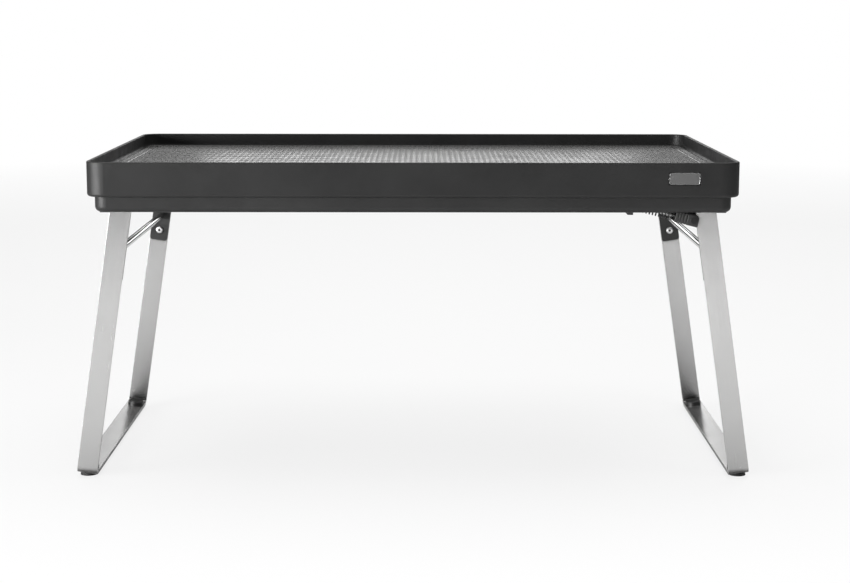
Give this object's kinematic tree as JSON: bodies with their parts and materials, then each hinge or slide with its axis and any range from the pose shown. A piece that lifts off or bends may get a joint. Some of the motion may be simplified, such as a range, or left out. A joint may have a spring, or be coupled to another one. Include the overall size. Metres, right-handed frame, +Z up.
{
  "type": "folding tray table",
  "caption": "Low folding tray table: rimmed rectangular tray with a dimpled rubber mat on U-shaped steel leg frames that fold flat inside its pan and snap open over sprung struts.",
  "frame": {"origin": "on the floor under the middle of the tray", "axes": "+X along the tray towards its right end, -Y towards the front, +Z up"},
  "size_m": [0.6398, 0.3653, 0.3033],
  "materials": {
    "tray_plastic": "fine-grained black moulded plastic",
    "pan_plastic": "fine-grained black moulded plastic",
    "mat_rubber": "dark grey rubber, dimpled, satin",
    "badge_enamel": "satin black plate with a thin bright edge",
    "leg_steel": "stainless steel brushed along the bar",
    "bracket_paint": "black powder coat",
    "rod_steel": "polished stainless steel",
    "screw_steel": "bright stainless steel",
    "black_screw_steel": "blackened steel",
    "foot_rubber": "matt black rubber",
    "cap_plastic": "satin black nylon",
    "hinge_nylon": "black glass-filled nylon",
    "bush_nylon": "natural nylon",
    "spring_steel": "blackened spring steel",
    "pin_steel": "ground steel"
  },
  "bodies": {
    "tray": {"tray_shell": "tray_plastic", "lower_pan": "pan_plastic", "rubber_mat": "mat_rubber", "badge_plate": "badge_enamel", "pan_screws": "black_screw_steel", "hinge_block_screws": "black_screw_steel", "anchor_screws": "black_screw_steel", "centre_rest": "foot_rubber", "hinge_block_right_front": "hinge_nylon", "hinge_block_right_back": "hinge_nylon", "hinge_pins_right": "pin_steel", "leg_stops_right": "foot_rubber", "anchor_post_right": "hinge_nylon", "anchor_pin_right": "pin_steel", "hinge_block_left_front": "hinge_nylon", "hinge_block_left_back": "hinge_nylon", "hinge_pins_left": "pin_steel", "leg_stops_left": "foot_rubber", "anchor_post_left": "hinge_nylon", "anchor_pin_left": "pin_steel"},
    "leg_right": {"leg_frame_right": "leg_steel", "toggle_bracket_right": "bracket_paint", "plain_bracket_right": "bracket_paint", "cross_rod_right": "rod_steel", "bracket_screws_right": "screw_steel", "hinge_bushes_right": "bush_nylon", "foot_pads_right": "foot_rubber", "foot_caps_right": "cap_plastic", "toggle_pin_right": "black_screw_steel"},
    "guide_right": {"guide_rod_right": "pin_steel", "toggle_spring_right": "spring_steel"},
    "sleeve_right": {"spring_sleeve_right": "hinge_nylon"},
    "leg_left": {"leg_frame_left": "leg_steel", "toggle_bracket_left": "bracket_paint", "plain_bracket_left": "bracket_paint", "cross_rod_left": "rod_steel", "bracket_screws_left": "screw_steel", "hinge_bushes_left": "bush_nylon", "foot_pads_left": "foot_rubber", "foot_caps_left": "cap_plastic", "toggle_pin_left": "black_screw_steel"},
    "guide_left": {"guide_rod_left": "pin_steel", "toggle_spring_left": "spring_steel"},
    "sleeve_left": {"spring_sleeve_left": "hinge_nylon"}
  },
  "joints": [
    {"name": "leg_hinge_right", "type": "hinge", "parent": "tray", "child": "leg_right", "pos_m": [0.2729, 0, 0.2644], "axis": [0, 1, 0], "range_deg": [0, 98.65]},
    {"name": "guide_tilt_right", "type": "hinge", "parent": "tray", "child": "guide_right", "pos_m": [0.1994, -0.1615, 0.2634], "axis": [0, 1, 0], "range_deg": [-30.2, 0], "deforming": ["toggle_spring_right"]},
    {"name": "sleeve_turn_right", "type": "hinge", "parent": "leg_right", "child": "sleeve_right", "pos_m": [0.2592, -0.1615, 0.2485], "axis": [0, 1, 0], "range_deg": [-128.9, 0]},
    {"name": "leg_hinge_left", "type": "hinge", "parent": "tray", "child": "leg_left", "pos_m": [-0.2729, 0, 0.2644], "axis": [0, -1, 0], "range_deg": [0, 98.65]},
    {"name": "guide_tilt_left", "type": "hinge", "parent": "tray", "child": "guide_left", "pos_m": [-0.1994, 0.1615, 0.2634], "axis": [0, -1, 0], "range_deg": [-30.2, 0], "deforming": ["toggle_spring_left"]},
    {"name": "sleeve_turn_left", "type": "hinge", "parent": "leg_left", "child": "sleeve_left", "pos_m": [-0.2592, 0.1615, 0.2485], "axis": [0, -1, 0], "range_deg": [-128.9, 0]}
  ],
  "couplings": [
    {"joint": "guide_tilt_right", "follows": "leg_hinge_right", "ratio": -0.305},
    {"joint": "sleeve_turn_right", "follows": "leg_hinge_right", "ratio": -1.305},
    {"joint": "guide_tilt_left", "follows": "leg_hinge_left", "ratio": -0.305},
    {"joint": "sleeve_turn_left", "follows": "leg_hinge_left", "ratio": -1.305}
  ]
}
